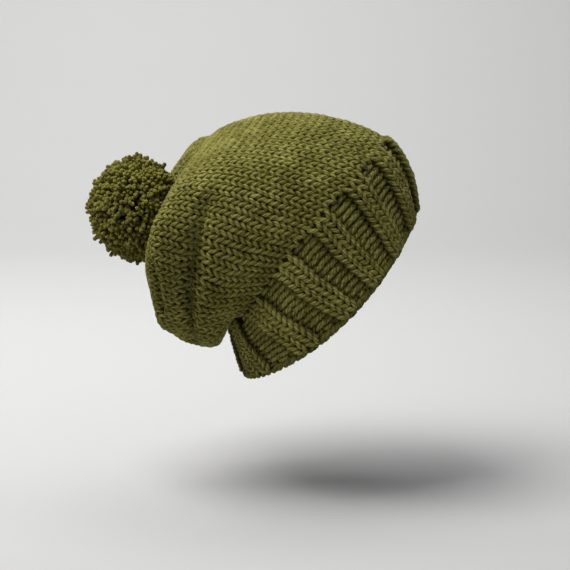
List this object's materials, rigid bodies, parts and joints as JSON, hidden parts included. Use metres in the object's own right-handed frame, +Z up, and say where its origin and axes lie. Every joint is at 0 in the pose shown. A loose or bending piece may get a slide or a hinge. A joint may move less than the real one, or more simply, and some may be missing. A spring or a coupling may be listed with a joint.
{
  "type": "knit beanie",
  "caption": "Slouchy hand-knit beanie with a wide ribbed brim, a plain knit body gathered at the crown, and a large tied pom-pom.",
  "frame": {"origin": "middle of the brim opening, where the head goes in", "axes": "+X towards the wearer's face, +Z up, with the hat as it sits tilted back on an upright head"},
  "size_m": [0.2694, 0.1661, 0.2226],
  "materials": {
    "moss_yarn": "matte",
    "tie_yarn": "matte",
    "cut_yarn": "matte"
  },
  "bodies": {
    "hat": {"cast_on_edge": "moss_yarn", "rib_brim": "moss_yarn", "knit_body": "moss_yarn", "gathered_crown": "moss_yarn", "cast_on_tail": "moss_yarn", "crown_tail": "moss_yarn", "crown_cinch_yarn": "moss_yarn", "inner_knot": "tie_yarn"},
    "tie": {"tie_strand_near": "tie_yarn", "tie_strand_far": "tie_yarn"},
    "knot": {"pompom_knot": "tie_yarn"},
    "pompom": {"pompom_strands": "cut_yarn", "pompom_binding": "tie_yarn"}
  },
  "joints": [
    {"name": "pompom_sway", "type": "hinge", "parent": "hat", "child": "tie", "pos_m": [-0.108, 0, 0.079], "axis": [0, 0, 1], "range_deg": [-8, 8]},
    {"name": "pompom_lift", "type": "hinge", "parent": "tie", "child": "knot", "pos_m": [-0.11891, 0, 0.07756], "axis": [0, 1, 0], "range_deg": [0, 25]},
    {"name": "pompom_twist", "type": "hinge", "parent": "knot", "child": "pompom", "pos_m": [-0.1535, 0, 0.073], "axis": [-0.9914, 0, -0.1307], "range_deg": [-120, 120]}
  ]
}
